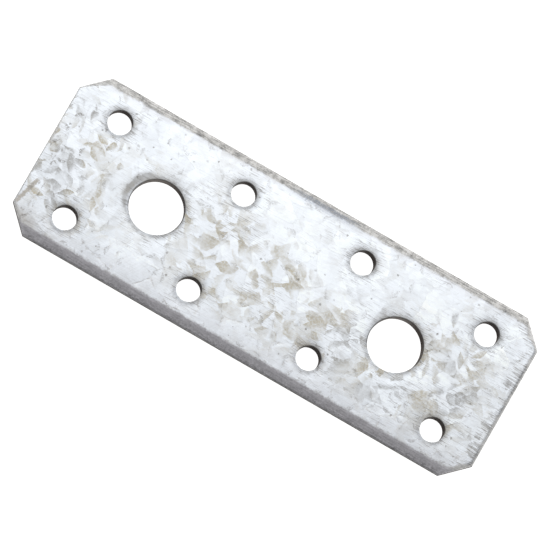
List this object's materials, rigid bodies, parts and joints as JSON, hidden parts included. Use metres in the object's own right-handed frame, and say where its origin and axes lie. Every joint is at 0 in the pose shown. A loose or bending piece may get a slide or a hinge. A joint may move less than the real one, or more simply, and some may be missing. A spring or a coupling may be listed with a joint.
{
  "type": "mending plate",
  "caption": "Flat zinc-coated steel mending plate with clipped corners, punched with nail holes along both edges and a bolt hole in each half, for joining timber end to end.",
  "frame": {"origin": "middle of the underside", "axes": "+X along the plate, +Y across it, +Z out of the face that nails and bolts enter"},
  "size_m": [0.1, 0.035, 0.0025],
  "materials": {
    "zinc_coated_steel": "bright spangled zinc, scuffed, dull grey along the sheared edges"
  },
  "bodies": {
    "root": {"plate": "zinc_coated_steel"}
  },
  "joints": []
}
